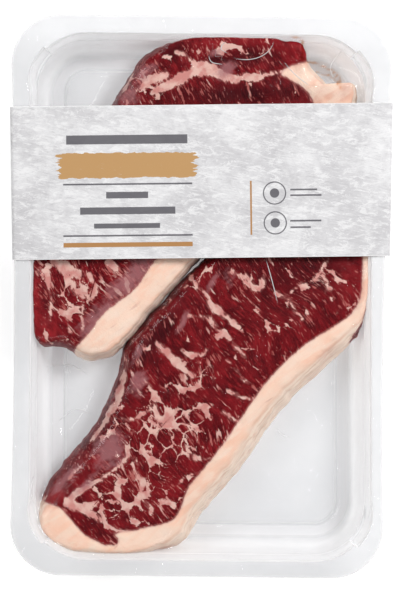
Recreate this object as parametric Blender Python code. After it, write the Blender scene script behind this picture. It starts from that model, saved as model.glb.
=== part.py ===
"""Vacuum skin pack of two striploin steaks: a clear thermoformed tray, the two steaks, the skin film and a board sleeve.

Metres, +Z up. The pack lies on its back: X runs across the tray, Y along it, and the origin is
at the middle of the base, on the surface that the pack lies on.
"""

import math

import bmesh
import bpy
import numpy as np
from mathutils import Vector
from mathutils.bvhtree import BVHTree

MM = 0.001

# Tray, in millimetres
TRAY_HALF_WIDTH = 88.0
TRAY_HALF_LENGTH = 130.0
TRAY_UNDERSIDE = 0.85  # the board of the sleeve lies under it
TRAY_RIM = 28.0
TRAY_WALL = 0.7
FLANGE_SIDE = 8.3  # width of the flange at the ends of the long sides
FLANGE_END = 7.9  # and along the short sides
FLANGE_TAPER = 0.0083  # how much the flange's half width grows for each mm towards the far end
FLANGE_BOW = 2.2  # the shrunk film draws the flange in by this much at the middle of its long sides
CAVITY_BOW = 0.5  # and the walls of the cavity by this much
CAVITY_SHIFT = (0.6, -0.6)  # the flange is cut a little off the middle of the cavity
CAVITY_LEAN = -0.0085  # and askew of it: how far the cavity goes across for each mm along
PANEL_RISE = 1.2
LUG_DEPTH = 1.6  # stacking lugs, just under the rim at each corner
LUG_DROP = 8.0
CORNER_ANGLES = (0, 9, 18, 27, 36, 44, 46, 54, 63, 72, 81, 90)
LUG_SHARES = (0.2, 0.5, 0.8, 0.95, 1.0, 1.0)  # lug depth at the first corner angles, from the long side
LONG_SIDE_STEPS = 8
SHORT_SIDE_STEPS = 3

# Steaks, in millimetres
STEAK_TOP = 24.6
STEAK_POINTS = 58  # round each outline
WALL_LIFT = 1.8  # how much higher the meat stands where it is pressed against the long sides
WALL_CLEARANCE = 0.6
SEAM_GAP = 0.32  # between the lean and its fat

# Skin film, in millimetres
FILM_THICKNESS = 0.4
FILM_GAP = 0.32
FILM_COLUMNS = 34
FILM_ROWS = 48
FILM_RINGS = (  # half width, half length and corner radius of the film's outer rings; two lie on the flange
    (86.7, 128.7, 23.2), (79.3, 121.7, 26.7), (76.8, 119.2, 25.0), (74.1, 116.5, 22.6), (70.1, 112.3, 19.0),
)
FILM_CORE = 39.0  # half length of the film's innermost ring, which has no width
SINK_SWEEPS = 16
SMOOTH_SWEEPS = 3

# Sleeve, in millimetres
BOARD = 0.5
SLEEVE_DEPTH = 70.9
SLEEVE_MIDDLE = 53.0
SLEEVE_TOP = 29.55
SLEEVE_HALF_WIDTH = 88.05
SLEEVE_TAPER = 0.6  # added at the far edge and taken off at the near one
SLEEVE_SHIFT = 0.35  # how far to the right its middle is
SLEEVE_LEAN = -0.35  # and how much further its far edge is, its near edge being as much the other way
SLEEVE_BACK_HALF_WIDTH = 77.0
SLEEVE_SKEW = 0.022
FRONT_FOLD = 2.2
BACK_FOLD = 0.9

# Outline points of the steaks: x, y and the width of the rounded shoulder beside the cut face
UPPER_STEAK = (
    (-78, 20, 2), (-78, -14, 2), (-75.5, -24, 4), (-64, -25, 5), (-55, -29.5, 4), (-47, -31, 4),
    (-38, -26.4, 3.5), (-29.5, -17.6, 3.5), (-20, -5.5, 3.5), (-1, 16, 3.5), (26, 45, 3.5), (50, 68, 3.5),
    (70, 86, 4), (73, 98, 4), (62, 99.5, 4), (52, 107, 5), (43, 117.5, 5), (16, 121.5, 6), (-8, 119.6, 6),
    (-26, 112, 6), (-37, 96.5, 5), (-52, 72, 5), (-66, 48, 5),
)
LOWER_STEAK = (
    (81, 45, 3.5), (81, 5, 3), (77.5, -14, 5.5), (60.5, -31.5, 7), (40, -51.5, 7.5), (20.5, -79.5, 7.5),
    (2.5, -101, 7), (-8, -116, 6), (-30, -122.5, 5), (-56, -122.5, 5), (-73, -115, 5), (-75.5, -103, 5),
    (-69, -87, 7), (-56, -70.5, 7), (-46.8, -58, 6.5), (-37.6, -36, 6.5), (-34, -23.4, 6), (-19.9, -7.5, 6),
    (1, 14.2, 6), (20.6, 35.4, 6), (38, 55, 6), (58, 66, 6), (72, 62, 6),
)
# Line that each steak follows from end to end, halfway between its long sides
UPPER_SPINE = ((-52, -6), (-42, 30), (-20, 62), (10, 88), (44, 98))
LOWER_SPINE = ((-50, -100), (-36, -84), (-6, -48), (22, -12), (50, 26), (62, 46))
# Where the lean meets the fat, from one side of the steak to the other and then round outside the fat
UPPER_FAT = (
    (-60, -34), (-57.5, -25.5), (-51, -18), (-44, -8.5), (-30, 3), (-20, 17), (0, 38), (24, 60),
    (46, 79), (52, 90), (47, 98.5), (41.6, 103.5), (43, 122), (100, 122), (100, 60), (0, -34),
)
LOWER_FAT = (
    (76, 75), (75.8, 40), (75.6, 15), (74.8, 1), (70.5, -7.5), (62, -13.8), (47.5, -23.5), (33, -38),
    (20.5, -55.7), (8, -74), (-4, -89),
    (-10, -103), (-22, -107.5), (-38, -110.6), (-50, -112.4), (-59, -104), (-66, -98), (-90, -92),
    (-100, -140), (40, -140), (110, -60), (110, 75),
)
FIXED_TAIL = 4  # of those points, how many lie outside the steak and stay a plain polygon

# Heights of the rings round a steak, each with a fixed inset and a share of the shoulder width
STEAK_RINGS = (
    (3.25, 2.6, 0.0), (4.6, 0.8, 0.0), (8.0, 0.0, 0.0), (13.0, 0.0, 0.12), (18.0, 0.0, 0.36),
    (21.4, 0.0, 0.66), (23.5, 0.0, 1.0), (24.4, 3.0, 1.0),
)


def clear_scene():
    for old in list(bpy.data.objects):
        bpy.data.objects.remove(old, do_unlink=True)


def material(name, colour, roughness, metallic=0.0, alpha=1.0):
    made = bpy.data.materials.new(name)
    made.use_nodes = True
    shader = made.node_tree.nodes["Principled BSDF"]
    shader.inputs["Base Color"].default_value = (*colour, 1.0)
    shader.inputs["Roughness"].default_value = roughness
    shader.inputs["Metallic"].default_value = metallic
    shader.inputs["Alpha"].default_value = alpha
    return made


def object_from(name, points, faces, finish):
    """A smooth-shaded object from points in millimetres, with its faces turned outwards."""
    mesh = bpy.data.meshes.new(name)
    mesh.from_pydata([Vector(point) * MM for point in points], [], faces)
    shape = bmesh.new()
    shape.from_mesh(mesh)
    bmesh.ops.recalc_face_normals(shape, faces=shape.faces)
    bmesh.ops.triangulate(shape, faces=[face for face in shape.faces if len(face.verts) > 4])
    shape.to_mesh(mesh)
    shape.free()
    mesh.shade_smooth()
    mesh.set_sharp_from_angle(angle=math.radians(40))
    mesh.materials.append(finish)
    made = bpy.data.objects.new(name, mesh)
    bpy.context.scene.collection.objects.link(made)
    return made


def bridge(first, second):
    """Quads between two closed rings of vertex numbers."""
    count = len(first)
    return [
        (first[i], first[(i + 1) % count], second[(i + 1) % count], second[i])
        for i in range(count)
    ]


# Tray


def tray_ring(half_x, half_y, radius, height, lug=0.0):
    """Points of a rounded rectangle whose long sides bow in, with a lug beside each corner."""
    corners = ((1, 1), (-1, 1), (-1, -1), (1, -1))
    points = []
    for turn, (side_x, side_y) in enumerate(corners):
        angles = CORNER_ANGLES
        shares = LUG_SHARES + (0.0,) * (len(CORNER_ANGLES) - len(LUG_SHARES))
        if turn % 2:  # this corner is walked from the short side to the long one
            angles = CORNER_ANGLES[::-1]
            shares = shares[::-1]
        for angle, share in zip(angles, shares):
            reach = radius + lug * share
            x = side_x * (half_x - radius + reach * math.cos(math.radians(angle)))
            y = side_y * (half_y - radius + reach * math.sin(math.radians(angle)))
            points.append((x, y))
        next_x, next_y = corners[(turn + 1) % 4]
        if turn % 2:
            start, end = (side_x * half_x, side_y * (half_y - radius)), (next_x * half_x, next_y * (half_y - radius))
            steps = LONG_SIDE_STEPS
        else:
            start, end = (side_x * (half_x - radius), side_y * half_y), (next_x * (half_x - radius), next_y * half_y)
            steps = SHORT_SIDE_STEPS
        for step in range(1, steps):
            share = step / steps
            points.append((start[0] + (end[0] - start[0]) * share, start[1] + (end[1] - start[1]) * share))
    return [(*placed(x, y, half_x, half_y), height) for x, y in points]


def placed(x, y, half_x, half_y):
    """Where a point of a ring is once the film has drawn the long sides in.

    The widest rings are the cut edge of the flange. All the others belong to the cavity, which lies askew in it.
    """
    drawn = max(0.0, 1.0 - (y / half_y) ** 2)
    if half_x > TRAY_HALF_WIDTH - FLANGE_SIDE / 2:
        return x + (x / half_x) * (FLANGE_TAPER * y - FLANGE_BOW * drawn), y
    return x - CAVITY_BOW * (x / half_x) * drawn + CAVITY_SHIFT[0] + CAVITY_LEAN * y, y + CAVITY_SHIFT[1]


def tray_profile():
    """Rings of the tray's upper face from the middle out, then of its underside back to the middle."""
    floor = TRAY_UNDERSIDE + TRAY_WALL
    rim = TRAY_RIM
    inner_x = TRAY_HALF_WIDTH - FLANGE_SIDE
    inner_y = TRAY_HALF_LENGTH - FLANGE_END
    upper = (
        (inner_x - 16.2, inner_y - 16.4, 10.5, floor + PANEL_RISE, 0),
        (inner_x - 14.4, inner_y - 14.6, 12.0, floor, 0),
        (inner_x - 9.8, inner_y - 10.4, 17.4, floor, 0),
        (inner_x - 7.6, inner_y - 8.0, 19.8, floor + 1.3, 0),
        (inner_x - 5.8, inner_y - 5.9, 21.7, floor + 4.3, 0),
        (inner_x - 4.9, inner_y - 4.8, 22.6, floor + 8.0, 0),
        (inner_x - 3.1, inner_y - 3.0, 24.5, rim - LUG_DROP, 0),
        (inner_x - 2.9, inner_y - 2.8, 24.7, rim - LUG_DROP + 0.4, LUG_DEPTH * 0.85),
        (inner_x - 0.8, inner_y - 0.8, 26.4, rim - 1.2, LUG_DEPTH),
        (inner_x, inner_y, 27.0, rim, LUG_DEPTH),
        (TRAY_HALF_WIDTH - 0.9, TRAY_HALF_LENGTH - 0.9, 23.6, rim, 0),
        (TRAY_HALF_WIDTH - 0.2, TRAY_HALF_LENGTH - 0.2, 24.2, rim - 0.5, 0),
        (TRAY_HALF_WIDTH, TRAY_HALF_LENGTH, 24.4, rim - 1.6, 0),
    )
    under = (
        (TRAY_HALF_WIDTH - 0.7, TRAY_HALF_LENGTH - 0.7, 23.8, rim - 1.6, 0),
        (TRAY_HALF_WIDTH - 1.2, TRAY_HALF_LENGTH - 1.2, 23.4, rim - TRAY_WALL, 0),
        (inner_x + 0.8, inner_y + 0.8, 27.6, rim - TRAY_WALL, LUG_DEPTH),
        (inner_x, inner_y, 27.2, rim - 1.8, LUG_DEPTH),
        (inner_x - 2.1, inner_y - 2.0, 25.4, rim - LUG_DROP - 0.2, LUG_DEPTH * 0.85),
        (inner_x - 2.3, inner_y - 2.2, 25.2, rim - LUG_DROP - 0.6, 0),
        (inner_x - 4.1, inner_y - 4.0, 23.4, floor + 7.8, 0),
        (inner_x - 5.1, inner_y - 5.2, 22.4, floor + 3.8, 0),
        (inner_x - 7.2, inner_y - 7.6, 20.2, floor + 0.6, 0),
        (inner_x - 9.6, inner_y - 10.2, 17.6, TRAY_UNDERSIDE, 0),
        (inner_x - 14.6, inner_y - 14.8, 11.8, TRAY_UNDERSIDE, 0),
        (inner_x - 16.5, inner_y - 16.7, 10.2, TRAY_UNDERSIDE + PANEL_RISE, 0),
    )
    return upper + under


def build_tray(finish):
    points, rings = [], []
    for half_x, half_y, radius, height, lug in tray_profile():
        ring = tray_ring(half_x, half_y, radius, height, lug)
        rings.append(list(range(len(points), len(points) + len(ring))))
        points.extend(ring)
    faces = [face for first, second in zip(rings, rings[1:]) for face in bridge(first, second)]
    faces += [rings[0], rings[-1]]
    return object_from("tray", points, faces, finish)


def wall_limits(height):
    """Half width, half length and corner radius of the space inside the tray at a height."""
    rows = tray_profile()[1:10]
    heights = [row[3] for row in rows]
    return [float(np.interp(height, heights, [row[i] for row in rows])) - WALL_CLEARANCE for i in range(3)]


def inside_tray(x, y, height):
    half_x, half_y, radius = wall_limits(height)
    y -= CAVITY_SHIFT[1]
    x -= CAVITY_SHIFT[0] + CAVITY_LEAN * y
    half_x -= CAVITY_BOW * max(0.0, 1.0 - (y / half_y) ** 2)
    over_x = abs(x) - (half_x - radius)
    over_y = abs(y) - (half_y - radius)
    if over_x > 0 and over_y > 0:
        return math.hypot(over_x, over_y) <= radius
    return abs(x) <= half_x and abs(y) <= half_y


# Steaks


def closed_curve(controls, count):
    """Evenly spaced points along a closed Catmull-Rom curve. Each point has as many values as a control has."""
    controls = np.array(controls, float)
    fine = []
    for i in range(len(controls)):
        before, start, end, after = (controls[(i + k) % len(controls)] for k in (-1, 0, 1, 2))
        for t in np.linspace(0, 1, 24, endpoint=False):
            fine.append(
                0.5 * (2 * start + (end - before) * t + (2 * before - 5 * start + 4 * end - after) * t * t
                       + (3 * start - before - 3 * end + after) * t ** 3)
            )
    fine.append(fine[0])
    fine = np.array(fine)
    along = np.concatenate([[0], np.cumsum(np.linalg.norm(np.diff(fine[:, :2], axis=0), axis=1))])
    wanted = np.linspace(0, along[-1], count, endpoint=False)
    return np.column_stack([np.interp(wanted, along, fine[:, k]) for k in range(fine.shape[1])])


def nearest_on_line(point, line):
    """The point of a polyline that lies nearest."""
    best, least = None, math.inf
    for start, end in zip(line, line[1:]):
        start, end = np.array(start, float), np.array(end, float)
        share = np.clip(np.dot(point - start, end - start) / np.dot(end - start, end - start), 0, 1)
        spot = start + share * (end - start)
        gap = np.linalg.norm(point - spot)
        if gap < least:
            best, least = spot, gap
    return best


def wall_lift(x, height):
    """How much a point of the meat is raised beside the tray's long sides."""
    beside = np.clip((abs(x - CAVITY_SHIFT[0]) - 70) / 6, 0, 1)
    return float(WALL_LIFT * beside * np.clip((height - 13) / 8, 0, 1))


def steak_body(name, outline, spine, finish):
    """A rounded slab: rings round the outline, drawn in towards the spine, and kept clear of the tray's wall."""
    edge = closed_curve(outline, STEAK_POINTS)
    targets = [nearest_on_line(point[:2], spine) for point in edge]
    points, rings = [], []
    for height, inset, share in STEAK_RINGS:
        ring = []
        for (x, y, shoulder), target in zip(edge, targets):
            way = np.array(target) - (x, y)
            way /= np.linalg.norm(way)
            spot = np.array((x, y)) + way * (inset + shoulder * share)
            raised = height + wall_lift(spot[0], height)
            while not inside_tray(spot[0], spot[1], raised):
                spot = spot + way * 0.2
            ring.append(len(points))
            points.append((spot[0], spot[1], raised))
        rings.append(ring)
    for share in (0.55, 0.8):
        ring = []
        for last, target in zip(rings[len(STEAK_RINGS) - 1], targets):
            x, y = np.array(points[last][:2]) * (1 - share) + np.array(target) * share
            ring.append(len(points))
            points.append((x, y, STEAK_TOP + 0.4 * math.sin(x / 17) * math.cos(y / 13)))
        rings.append(ring)
    faces = [face for first, second in zip(rings, rings[1:]) for face in bridge(first, second)]
    faces += [rings[0], rings[-1]]
    return object_from(name, points, faces, finish)


def fat_prism(name, border, gap, finish):
    """A tall prism over the fat of a steak. gap moves the border with the lean towards the fat."""
    inner = np.array(border[:-FIXED_TAIL], float)
    along = np.gradient(inner, axis=0)
    side = np.column_stack([-along[:, 1], along[:, 0]])
    side /= np.linalg.norm(side, axis=1)[:, None]
    outer = np.array(border[-FIXED_TAIL:], float)
    if np.dot(side[len(side) // 2], outer.mean(axis=0) - inner[len(inner) // 2]) < 0:
        side = -side
    outline = np.vstack([inner + side * gap, outer])
    count = len(outline)
    points = [(x, y, z) for z in (-5.0, 40.0) for x, y in outline]
    lower, upper = list(range(count)), list(range(count, 2 * count))
    prism = object_from(name, points, bridge(lower, upper) + [lower, upper], finish)
    prism.hide_render = True
    prism.display_type = "WIRE"
    return prism


def cut(target, cutter, operation):
    step = target.modifiers.new(operation.lower(), "BOOLEAN")
    step.operation = operation
    step.object = cutter
    step.solver = "EXACT"


def build_steak(name, outline, spine, border, lean_finish, fat_finish):
    """The lean and the fat of one steak, as two solids that meet along the border."""
    lean = steak_body(name + "_lean", outline, spine, lean_finish)
    fat = steak_body(name + "_fat", outline, spine, fat_finish)
    cut(lean, fat_prism(name + "_lean_cutter", border, 0.0, fat_finish), "DIFFERENCE")
    cut(fat, fat_prism(name + "_fat_cutter", border, SEAM_GAP, fat_finish), "INTERSECT")
    return lean, fat


# Skin film


def film_rings():
    """Half width, half length and corner radius of each ring of the film, from its cut edge to its middle."""
    rings = list(FILM_RINGS)
    half_x, half_y, radius = rings[-1]
    left = FILM_COLUMNS // 2 - len(rings) + 1
    for step in range(1, left + 1):
        inward = half_x * step / left
        rings.append((half_x - inward, half_y - (half_y - FILM_CORE) * step / left, max(0.0, radius - inward)))
    return rings


def along_side(share, half, radius):
    """Where a share of a side ends, from its middle: the way along and the drop into the rounded corner."""
    straight = half - radius
    walked = abs(share) * (straight + radius * math.pi / 4)
    if walked <= straight or radius == 0:
        return share * (straight + radius * math.pi / 4), 0.0
    turn = (walked - straight) / radius
    return math.copysign(straight + radius * math.sin(turn), share), radius * (1 - math.cos(turn))


def film_grid():
    """Points of the film row by row. They lie on nested rings that follow the shape of the tray."""
    rings = film_rings()
    points = []
    for row in range(FILM_ROWS + 1):
        for column in range(FILM_COLUMNS + 1):
            ring = min(row, FILM_ROWS - row, column, FILM_COLUMNS - column)
            half_x, half_y, radius = rings[ring]
            if ring in (row, FILM_ROWS - row):
                across = max(1, FILM_COLUMNS / 2 - ring)
                x, drop = along_side((column - FILM_COLUMNS / 2) / across, half_x, radius)
                y = math.copysign(half_y - drop, row - FILM_ROWS / 2)
            else:
                y, drop = along_side((row - FILM_ROWS / 2) / (FILM_ROWS / 2 - ring), half_y, radius)
                x = math.copysign(half_x - drop, column - FILM_COLUMNS / 2)
            points.append(placed(x, y, max(half_x, 1.0), half_y))
    return np.array(points)


def on_flange(index):
    row, column = divmod(index, FILM_COLUMNS + 1)
    return min(row, FILM_ROWS - row, column, FILM_COLUMNS - column) < 2


def film_triangles():
    width = FILM_COLUMNS + 1
    corners = [(row * width + column) for row in range(FILM_ROWS) for column in range(FILM_COLUMNS)]
    return [
        triangle
        for a in corners
        for triangle in ((a, a + 1, a + width + 1), (a, a + width + 1, a + width))
    ]


def surface_samples(shapes):
    """Points in millimetres along the edges of these objects, moved off their surface by the film's gap."""
    graph = bpy.context.evaluated_depsgraph_get()
    samples = []
    for shape in shapes:
        mesh = shape.evaluated_get(graph).to_mesh()
        for edge in mesh.edges:
            ends = [mesh.vertices[i] for i in edge.vertices]
            if ends[0].normal.z <= 0 and ends[1].normal.z <= 0:
                continue
            start, end = (one.co / MM + one.normal * FILM_GAP for one in ends)
            steps = max(1, math.ceil((end - start).length / 1.2))
            samples.extend(start.lerp(end, step / steps) for step in range(steps + 1))
    return samples


def drape(shapes):
    """Grid points of the film and their heights: it starts level with the flange and sinks until it rests."""
    grid = film_grid()
    triangles = film_triangles()
    flat = BVHTree.FromPolygons([Vector((x, y, 0)) for x, y in grid], triangles)
    rows, weights, heights = [], [], []
    for sample in surface_samples(shapes):
        _, _, index, _ = flat.ray_cast(Vector((sample.x, sample.y, 1)), Vector((0, 0, -1)))
        if index is None:
            continue
        a, b, c = (grid[i] for i in triangles[index])
        matrix = np.array(((a[0], b[0], c[0]), (a[1], b[1], c[1]), (1, 1, 1)))
        rows.append(triangles[index])
        weights.append(np.linalg.solve(matrix, (sample.x, sample.y, 1)))
        heights.append(sample.z)
    rows, weights, heights = np.array(rows), np.array(weights), np.array(heights)
    film = np.full(len(grid), TRAY_RIM + FILM_GAP)
    free = [i for i in range(len(grid)) if not on_flange(i)]
    around = {i: np.nonzero((rows == i) & (weights > 0.01)) for i in free}
    lowest = heights_below(grid, shapes)
    mixer = np.random.RandomState(5)
    for sweep in range(SINK_SWEEPS):
        share = 0.4 if sweep < SINK_SWEEPS - 3 else 1.0
        for i in mixer.permutation(free):
            touching, corner = around[i]
            limit = film[i] - lowest[i]
            if len(touching):
                slack = (film[rows[touching]] * weights[touching]).sum(axis=1) - heights[touching]
                limit = min(limit, (slack / weights[touching, corner]).min())
            film[i] -= max(0.0, limit) * share
    loose = np.array([not on_flange(i) for i in range(len(grid))])
    for _ in range(SMOOTH_SWEEPS):
        film = np.where(loose, (film + mean_around(film)) / 2, film)
        for _ in range(3):
            short = heights - (film[rows] * weights).sum(axis=1)
            lift = np.zeros(len(grid))
            np.maximum.at(lift, rows, np.maximum(short, 0)[:, None])
            film = film + lift * loose
    return grid, film


def mean_around(film):
    """The mean height of the eight points round each point of the film."""
    sheet = np.pad(film.reshape(FILM_ROWS + 1, FILM_COLUMNS + 1), 1, mode="edge")
    steps = (-1, 0, 1)
    around = sum(np.roll(sheet, (i, j), axis=(0, 1)) for i in steps for j in steps)
    return ((around - sheet) / 8)[1:-1, 1:-1].ravel()


def heights_below(grid, shapes):
    """The height of what lies under each grid point, with the film's gap added."""
    graph = bpy.context.evaluated_depsgraph_get()
    found = np.full(len(grid), TRAY_UNDERSIDE + TRAY_WALL)
    for shape in shapes:
        tree = BVHTree.FromObject(shape, graph)
        for i, (x, y) in enumerate(grid):
            spot = tree.ray_cast(Vector((x, y, 100)) * MM, Vector((0, 0, -1)))[0]
            if spot is not None:
                found[i] = max(found[i], spot.z / MM)
    return found + FILM_GAP


def build_film(shapes, finish):
    grid, heights = drape(shapes)
    under = np.column_stack([grid, heights])
    triangles = np.array(film_triangles())
    a, b, c = (under[triangles[:, k]] for k in range(3))
    facing = np.zeros_like(under)
    for k in range(3):
        np.add.at(facing, triangles[:, k], np.cross(b - a, c - a))
    facing /= np.linalg.norm(facing, axis=1)[:, None]
    points = np.vstack([under, under + facing * FILM_THICKNESS])
    count, width = len(grid), FILM_COLUMNS + 1
    faces = [(a, c, b) for a, b, c in film_triangles()]
    faces += [(a + count, b + count, c + count) for a, b, c in film_triangles()]
    near = list(range(width))
    right = [row * width + FILM_COLUMNS for row in range(1, FILM_ROWS + 1)]
    far = [FILM_ROWS * width + column for column in range(FILM_COLUMNS - 1, -1, -1)]
    left = [row * width for row in range(FILM_ROWS - 1, 0, -1)]
    rim = near + right + far + left
    faces += bridge(rim, [i + count for i in rim])
    return object_from("skin_film", points, faces, finish)


# Sleeve


def sleeve_section(half_width, thickness):
    """Corners of the sleeve's loop in X and Z, this far inside its outer face, with its four folds rounded."""
    top, bottom = SLEEVE_TOP - thickness, thickness
    front, back = half_width - thickness, SLEEVE_BACK_HALF_WIDTH - thickness
    right = [(front - FRONT_FOLD * 1.6, top)]
    for angle in (75, 50, 25, 0):
        turn = math.radians(angle)
        right.append((front - FRONT_FOLD * (1 - math.cos(turn)), top - FRONT_FOLD * (1 - math.sin(turn))))
    for angle in (-20, -55, -90):
        turn = math.radians(angle)
        right.append((back - BACK_FOLD * (1 - math.cos(turn)), bottom + BACK_FOLD * (1 + math.sin(turn))))
    left = [(-x, z) for x, z in reversed(right)]
    return right + left


def build_sleeve(finish):
    points, rings = [], []
    for end, thickness in ((-1, 0), (1, 0), (1, BOARD), (-1, BOARD)):
        half_width = SLEEVE_HALF_WIDTH + end * SLEEVE_TAPER
        section = sleeve_section(half_width, thickness)
        rings.append(list(range(len(points), len(points) + len(section))))
        for x, z in section:
            y = SLEEVE_MIDDLE + end * SLEEVE_DEPTH / 2 + SLEEVE_SKEW * x
            points.append((x + SLEEVE_SHIFT + end * SLEEVE_LEAN, y, z))
    faces = [face for first, second in zip(rings, rings[1:] + rings[:1]) for face in bridge(first, second)]
    return object_from("sleeve", points, faces, finish)


def main():
    clear_scene()
    clear_plastic = material("clear_plastic", (0.86, 0.87, 0.88), 0.12, alpha=0.4)
    clear_film = material("clear_film", (0.93, 0.93, 0.94), 0.1, alpha=0.25)
    lean = material("lean_meat", (0.17, 0.012, 0.016), 0.28)
    fat = material("fat", (0.82, 0.56, 0.43), 0.32)
    board = material("sleeve_board", (0.7, 0.69, 0.7), 0.6)

    tray = build_tray(clear_plastic)
    upper = build_steak("upper_steak", UPPER_STEAK, UPPER_SPINE, UPPER_FAT, lean, fat)
    lower = build_steak("lower_steak", LOWER_STEAK, LOWER_SPINE, LOWER_FAT, lean, fat)
    build_film([tray, *upper, *lower], clear_film)
    build_sleeve(board)


main()
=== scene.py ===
import math

import bmesh
import bpy
import numpy as np
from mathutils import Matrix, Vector, noise
from mathutils.bvhtree import BVHTree


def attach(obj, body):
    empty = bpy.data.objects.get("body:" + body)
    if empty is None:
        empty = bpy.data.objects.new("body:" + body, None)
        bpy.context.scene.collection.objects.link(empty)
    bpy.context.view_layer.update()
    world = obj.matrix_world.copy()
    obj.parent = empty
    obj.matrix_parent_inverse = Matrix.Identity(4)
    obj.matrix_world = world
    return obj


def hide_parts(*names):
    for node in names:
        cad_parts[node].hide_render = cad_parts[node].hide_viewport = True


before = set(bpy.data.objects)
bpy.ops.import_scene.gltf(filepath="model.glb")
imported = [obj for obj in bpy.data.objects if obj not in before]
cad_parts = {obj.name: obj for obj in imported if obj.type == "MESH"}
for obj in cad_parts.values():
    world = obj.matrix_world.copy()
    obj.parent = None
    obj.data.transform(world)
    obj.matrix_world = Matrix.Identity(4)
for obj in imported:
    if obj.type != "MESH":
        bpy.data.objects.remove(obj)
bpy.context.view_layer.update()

mm = 0.001


# Mesh helpers

def makePiece(name, points, faces, material, sharpAngle=40):
    # points are in millimetres
    mesh = bpy.data.meshes.new(name)
    mesh.from_pydata((np.asarray(points, float) * mm).tolist(), [], faces)
    shape = bmesh.new()
    shape.from_mesh(mesh)
    bmesh.ops.recalc_face_normals(shape, faces=shape.faces)
    shape.to_mesh(mesh)
    shape.free()
    mesh.shade_smooth()
    mesh.set_sharp_from_angle(angle=math.radians(sharpAngle))
    mesh.materials.append(material)
    piece = bpy.data.objects.new(name, mesh)
    bpy.context.scene.collection.objects.link(piece)
    return piece


def ringFaces(rings, size, capped=True):
    # quads between rings of vertices that were laid down one after another, and a lid on each end
    faces = [
        (r * size + i, r * size + (i + 1) % size, (r + 1) * size + (i + 1) % size, (r + 1) * size + i)
        for r in range(rings - 1)
        for i in range(size)
    ]
    return faces + [tuple(range(r * size, (r + 1) * size)) for r in (0, rings - 1) if capped]


def addField(piece, name, values):
    # one number for each vertex, read by the material
    field = piece.data.attributes.new(name, "FLOAT", "POINT")
    field.data.foreach_set("value", np.asarray(values, np.float32))


def smoothCurve(controls, steps, closed=False):
    # Catmull-Rom through the control points, whatever number of values each one has
    controls = np.asarray(controls, float)
    last = len(controls)
    found = []
    for i in range(last if closed else last - 1):
        picked = [(i + k) % last if closed else min(max(i + k, 0), last - 1) for k in (-1, 0, 1, 2)]
        before, start, end, after = controls[picked]
        for t in np.linspace(0, 1, steps, endpoint=False):
            found.append(0.5 * (2 * start + (end - before) * t
                                + (2 * before - 5 * start + 4 * end - after) * t * t
                                + (3 * start - before - 3 * end + after) * t ** 3))
    found.append(found[0] if closed else controls[-1])
    return np.array(found)


def evenlySpaced(curve, count):
    along = np.concatenate([[0], np.cumsum(np.linalg.norm(np.diff(curve[:, :2], axis=0), axis=1))])
    wanted = np.linspace(0, along[-1], count, endpoint=False)
    return np.column_stack([np.interp(wanted, along, curve[:, k]) for k in range(curve.shape[1])])


def nearestOnLine(points, line):
    # the nearest spot of a polyline to each point, and how far off it is; a third value is a half width
    line = np.asarray(line, float)
    best = np.full(len(points), 1e9)
    spots = np.zeros((len(points), 2))
    for start, end in zip(line, line[1:]):
        step = end[:2] - start[:2]
        share = np.clip(((points - start[:2]) @ step) / max(step @ step, 1e-9), 0, 1)[:, None]
        spot = start[:2] + share * step
        off = np.linalg.norm(points - spot, axis=1)
        if len(start) > 2:
            off = off - (start[2] + share[:, 0] * (end[2] - start[2]))
        closer = off < best
        best[closer], spots[closer] = off[closer], spot[closer]
    return spots, best


def besideLine(points, line):
    # distance from a polyline, the same with a sign for its side, and a strength that dies away at its ends
    line = np.asarray(line, float)
    lengths = np.linalg.norm(np.diff(line, axis=0), axis=1)
    before = np.concatenate([[0], np.cumsum(lengths)[:-1]])
    best, signed, strength = np.full(len(points), 1e9), np.zeros(len(points)), np.zeros(len(points))
    for start, end, length, passed in zip(line, line[1:], lengths, before):
        step = end - start
        share = np.clip(((points - start) @ step) / length ** 2, 0, 1)
        offset = points - start - share[:, None] * step
        off = np.linalg.norm(offset, axis=1)
        closer = off < best
        turn = np.sign(step[0] * offset[:, 1] - step[1] * offset[:, 0])
        where = (passed + share * length) / lengths.sum()
        best[closer], signed[closer] = off[closer], (turn * off)[closer]
        strength[closer] = np.clip(4 * np.minimum(where, 1 - where), 0, 1)[closer]
    return best, signed, strength


def insideOutline(points, outline):
    inside = np.zeros(len(points), bool)
    x, y = points[:, 0], points[:, 1]
    for (ax, ay), (bx, by) in zip(outline, np.roll(outline, -1, axis=0)):
        crosses = (ay > y) != (by > y)
        reach = ax + (y - ay) * (bx - ax) / ((by - ay) or 1e-9)
        inside ^= crosses & (x < reach)
    return inside


def bumps(points, size, octaves, seed):
    # smooth noise from -1 to 1 with hills of this size in millimetres
    return np.array([
        noise.fractal(Vector((x / size + seed, y / size - seed, z / size)), 0.8, 2.0, octaves)
        for x, y, z in points
    ])


# Node helpers

def connect(tree, made, sockets):
    # links or sets the inputs of a node, by name or number
    for key, value in dict(sockets).items():
        if isinstance(value, bpy.types.NodeSocket):
            tree.links.new(value, made.inputs[key])
        else:
            made.inputs[key].default_value = value
    return made


def put(tree, kind, sockets=(), **settings):
    # adds a node and sets its properties and its inputs
    made = tree.nodes.new(kind)
    for key, value in settings.items():
        setattr(made, key, value)
    return connect(tree, made, sockets)


def maths(tree, operation, first, second=0.0):
    return put(tree, "ShaderNodeMath", {0: first, 1: second}, operation=operation).outputs[0]


def plus(tree, first, second):
    return maths(tree, "ADD", first, second)


def minus(tree, first, second):
    return maths(tree, "SUBTRACT", first, second)


def times(tree, first, second):
    return maths(tree, "MULTIPLY", first, second)


def apart(tree, first, second=0.0):
    return maths(tree, "ABSOLUTE", minus(tree, first, second))


def strongest(tree, found, *others):
    for mask in others:
        found = maths(tree, "MAXIMUM", found, mask)
    return found


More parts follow.
